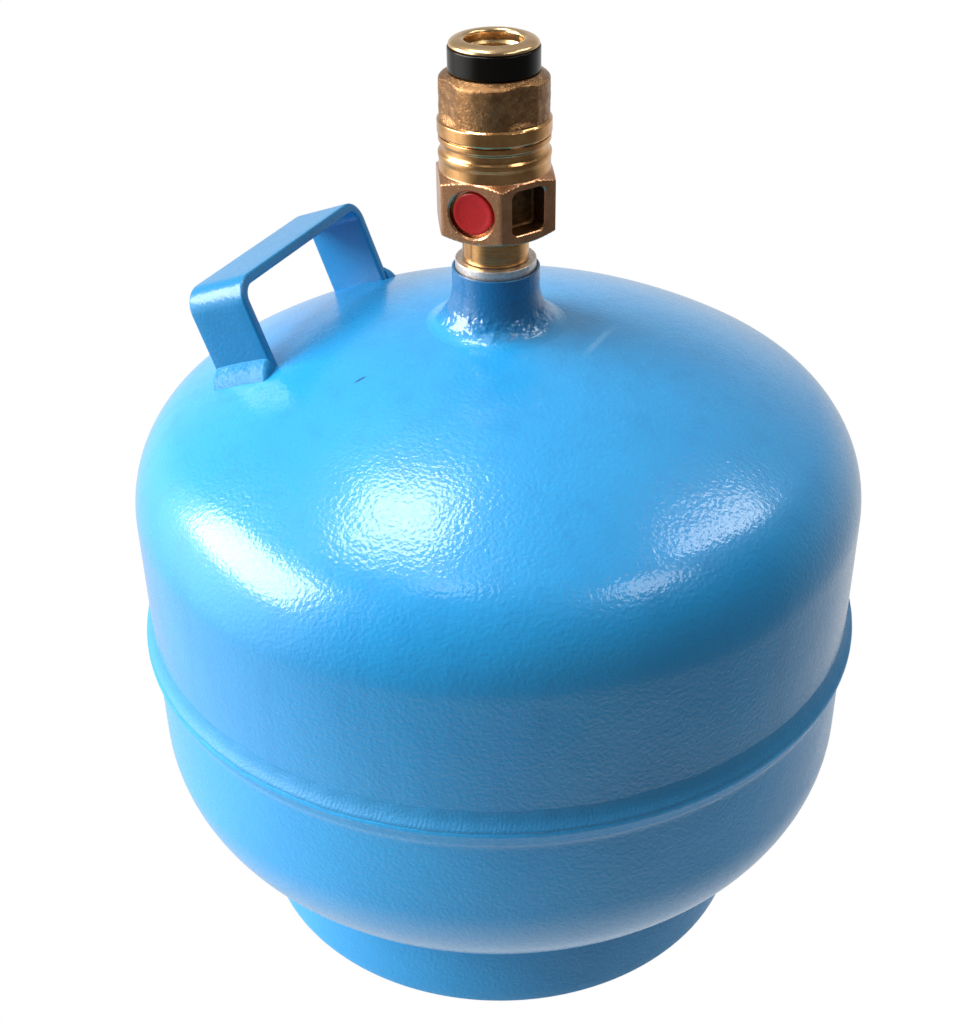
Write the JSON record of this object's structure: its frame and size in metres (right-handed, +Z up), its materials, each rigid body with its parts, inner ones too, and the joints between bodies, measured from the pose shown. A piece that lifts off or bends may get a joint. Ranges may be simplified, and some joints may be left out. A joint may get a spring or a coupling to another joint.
{
  "type": "refillable gas cylinder",
  "caption": "Small squat steel gas cylinder with a foot ring, a strap carrying handle, a hexagonal brass outlet valve with a self-closing poppet, and a side relief valve.",
  "frame": {"origin": "on the floor, at the centre of the foot ring, on the vessel's axis", "axes": "+Z up along the vessel's axis through the valve; -Y is the side the relief valve faces; the handle stands on the -X side with its length along Y"},
  "size_m": [0.2206, 0.2206, 0.274],
  "materials": {
    "blue_paint": "gloss, fine orange peel",
    "brass": "turned and polished",
    "forged_brass": "forged, blasted, with turned rings",
    "black_plastic": "gloss",
    "red_plastic": "semi-gloss",
    "aluminium": "turned, lightly scratched",
    "rubber": "matt",
    "spring_steel": "bright"
  },
  "bodies": {
    "cylinder": {"upper_shell": "blue_paint", "lower_shell": "blue_paint", "seam_weld": "blue_paint", "foot_ring": "blue_paint", "foot_weld": "blue_paint", "boss": "blue_paint", "boss_weld": "blue_paint", "handle": "blue_paint", "handle_weld_front": "blue_paint", "handle_weld_rear": "blue_paint", "sealing_washer": "aluminium", "valve_body": "forged_brass", "outlet_head": "forged_brass", "head_o_ring": "rubber", "outlet_sleeve": "black_plastic", "outlet_nose": "brass", "outlet_seal": "rubber", "poppet_spring": "spring_steel", "spring_retainer": "brass", "relief_plug": "brass"},
    "poppet": {"check_poppet": "brass", "poppet_seal": "rubber"},
    "relief": {"relief_piston": "brass", "relief_seal": "rubber", "relief_spring": "spring_steel"},
    "relief_dust_cap": {"relief_cap": "red_plastic"}
  },
  "joints": [
    {"name": "poppet_press", "type": "slide", "parent": "cylinder", "child": "poppet", "axis": [0, 0, -1], "range_m": [0, 0.0035], "stiffness_N_per_m": 800, "springref_m": -0.005, "deforming": ["poppet_spring"]},
    {"name": "relief_lift", "type": "slide", "parent": "cylinder", "child": "relief", "axis": [0, -1, 0], "range_m": [0, 0.0008], "stiffness_N_per_m": 5000, "springref_m": -0.004},
    {"name": "relief_cap_pull", "type": "slide", "parent": "cylinder", "child": "relief_dust_cap", "axis": [0, -1, 0], "range_m": [0, 0.006]}
  ]
}
